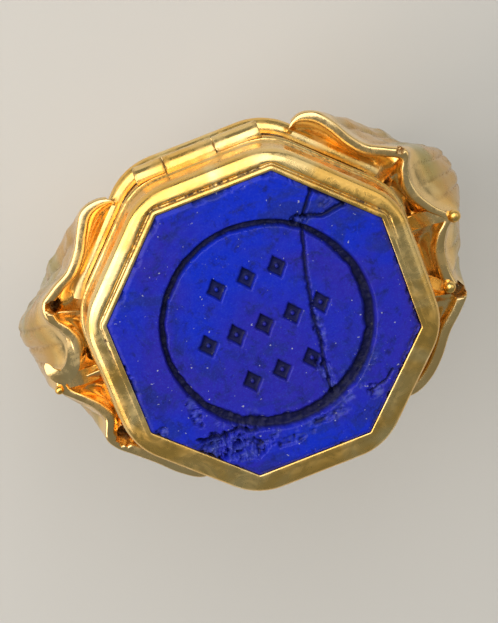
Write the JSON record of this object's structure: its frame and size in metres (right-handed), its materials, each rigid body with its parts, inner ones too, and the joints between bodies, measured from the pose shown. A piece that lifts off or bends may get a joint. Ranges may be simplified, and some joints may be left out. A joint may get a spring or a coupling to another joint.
{
  "type": "locket signet ring",
  "caption": "Gold finger ring with ruffled leaf shoulders and an octagonal case; the engraved lapis seal sits in a hinged lid over a glazed keepsake compartment.",
  "frame": {"origin": "centre of the finger hole, midway between the hoop's two edges", "axes": "+Y along the finger towards the lid's hinge; +Z out through the face of the seal, square to the finger; +X to the right when the seal is seen from above with the hinge away from the viewer"},
  "size_m": [0.0234, 0.0173, 0.0245],
  "materials": {
    "gold": "polished",
    "pale_gold": "satin",
    "lapis": "satin",
    "crystal": "gloss",
    "silk": "matte",
    "cement": "matte"
  },
  "bodies": {
    "ring": {"hoop": "gold", "right_shoulder": "gold", "left_shoulder": "gold", "right_outer_bead": "gold", "right_front_bead": "gold", "left_outer_bead": "gold", "case_wall": "gold", "base_moulding": "gold", "case_floor": "pale_gold", "collar": "pale_gold", "catch_bead": "gold", "left_hinge_knuckle": "gold", "right_hinge_knuckle": "gold", "hinge_pin": "pale_gold", "glass_frame": "pale_gold", "keepsake_glass": "crystal", "keepsake_lining": "silk"},
    "lid": {"lid_frame": "gold", "middle_hinge_knuckle": "gold", "lid_back_plate": "pale_gold", "stone_bed": "cement", "lapis_seal": "lapis"}
  },
  "joints": [
    {"name": "lid_hinge", "type": "hinge", "parent": "ring", "child": "lid", "pos_m": [0, 0.0081, 0.01121], "axis": [-1, 0, 0], "range_deg": [0, 110]}
  ]
}
